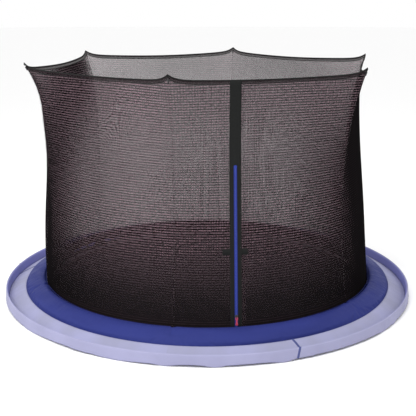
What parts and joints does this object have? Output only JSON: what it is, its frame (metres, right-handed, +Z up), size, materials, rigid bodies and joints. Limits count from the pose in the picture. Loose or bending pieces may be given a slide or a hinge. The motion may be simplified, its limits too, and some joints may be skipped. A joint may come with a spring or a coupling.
{
  "type": "garden trampoline",
  "caption": "Low round garden trampoline with sprung mat, padded ring, sloping apron and a bowed safety net with a zipped, buckled entrance.",
  "frame": {"origin": "centre of the ring, on the ground under the feet", "axes": "+Z up, through the mat's middle; the entrance faces -Y"},
  "size_m": [3.3068, 3.3068, 1.8829],
  "materials": {
    "galvanised_steel": "hot-dip galvanised, slightly dull",
    "spring_steel": "bright zinc-plated wire",
    "rod_fibreglass": "dark glass-fibre rod in a black fabric sleeve",
    "black_plastic": "moulded, slightly satin",
    "mat_cloth": "woven black polypropylene",
    "pad_foam": "closed-cell foam, hidden inside the cover",
    "blue_pvc": "blue coated cloth, softly creased",
    "lavender_pvc": "pale lavender coated cloth, satin",
    "purple_pvc": "mid purple coated cloth, satin",
    "net_mesh": "open knitted polyester mesh, see-through",
    "net_webbing": "close-woven black webbing",
    "zip_blue": "blue zip tape and coil",
    "pull_red": "soft-touch red plastic"
  },
  "bodies": {
    "frame": {"buckle_socket": "black_plastic", "buckle_strap_right": "net_webbing", "ground_foot_1": "galvanised_steel", "ground_foot_2": "galvanised_steel", "ground_foot_3": "galvanised_steel", "ground_foot_4": "galvanised_steel", "ground_foot_5": "galvanised_steel", "ground_foot_6": "galvanised_steel", "joint_sleeve_1": "galvanised_steel", "joint_sleeve_2": "galvanised_steel", "joint_sleeve_3": "galvanised_steel", "joint_sleeve_4": "galvanised_steel", "joint_sleeve_5": "galvanised_steel", "joint_sleeve_6": "galvanised_steel", "net_panel_1": "net_mesh", "net_panel_2": "net_mesh", "net_panel_3": "net_mesh", "net_panel_4": "net_mesh", "net_panel_5": "net_mesh", "net_panel_6": "net_mesh", "net_rod_1": "rod_fibreglass", "net_rod_2": "rod_fibreglass", "net_rod_3": "rod_fibreglass", "net_rod_4": "rod_fibreglass", "net_rod_5": "rod_fibreglass", "net_rod_6": "rod_fibreglass", "net_top_hem": "net_webbing", "pad_apron": "lavender_pvc", "pad_cover": "blue_pvc", "pad_foam": "pad_foam", "rail_1": "galvanised_steel", "rail_2": "galvanised_steel", "rail_3": "galvanised_steel", "rail_4": "galvanised_steel", "rail_5": "galvanised_steel", "rail_6": "galvanised_steel", "rim_hoop": "black_plastic", "rim_lining": "purple_pvc", "rim_skirt": "lavender_pvc", "rod_cap_1": "black_plastic", "rod_cap_2": "black_plastic", "rod_cap_3": "black_plastic", "rod_cap_4": "black_plastic", "rod_cap_5": "black_plastic", "rod_cap_6": "black_plastic", "zip_panel": "net_webbing", "zip_tape": "zip_blue"},
    "mat": {"jump_mat": "mat_cloth", "spring_bank_1": "spring_steel", "spring_bank_2": "spring_steel", "spring_bank_3": "spring_steel", "spring_bank_4": "spring_steel", "spring_bank_5": "spring_steel", "spring_bank_6": "spring_steel"},
    "slider": {"zip_slider": "black_plastic"},
    "pull": {"zip_pull": "pull_red"},
    "plug": {"buckle_plug": "black_plastic", "buckle_strap_left": "net_webbing"}
  },
  "joints": [
    {"name": "mat_bounce", "type": "slide", "parent": "frame", "child": "mat", "axis": [0, 0, 1], "range_m": [-0.45, 0.04], "stiffness_N_per_m": 6000, "springref_m": 0.03, "deforming": ["spring_bank_1", "spring_bank_2", "spring_bank_3", "spring_bank_4", "spring_bank_5", "spring_bank_6"]},
    {"name": "zip_travel", "type": "slide", "parent": "frame", "child": "slider", "axis": [-0.0122, 0.0768, 0.997], "range_m": [0, 1.028]},
    {"name": "pull_swing", "type": "hinge", "parent": "slider", "child": "pull", "pos_m": [0.20231, -1.31437, 0.20856], "axis": [-0.9883, -0.1523, -0.0004], "range_deg": [0, 150]},
    {"name": "buckle_release", "type": "slide", "parent": "frame", "child": "plug", "axis": [-0.9874, -0.1581, 0.0001], "range_m": [0, 0.026]}
  ]
}
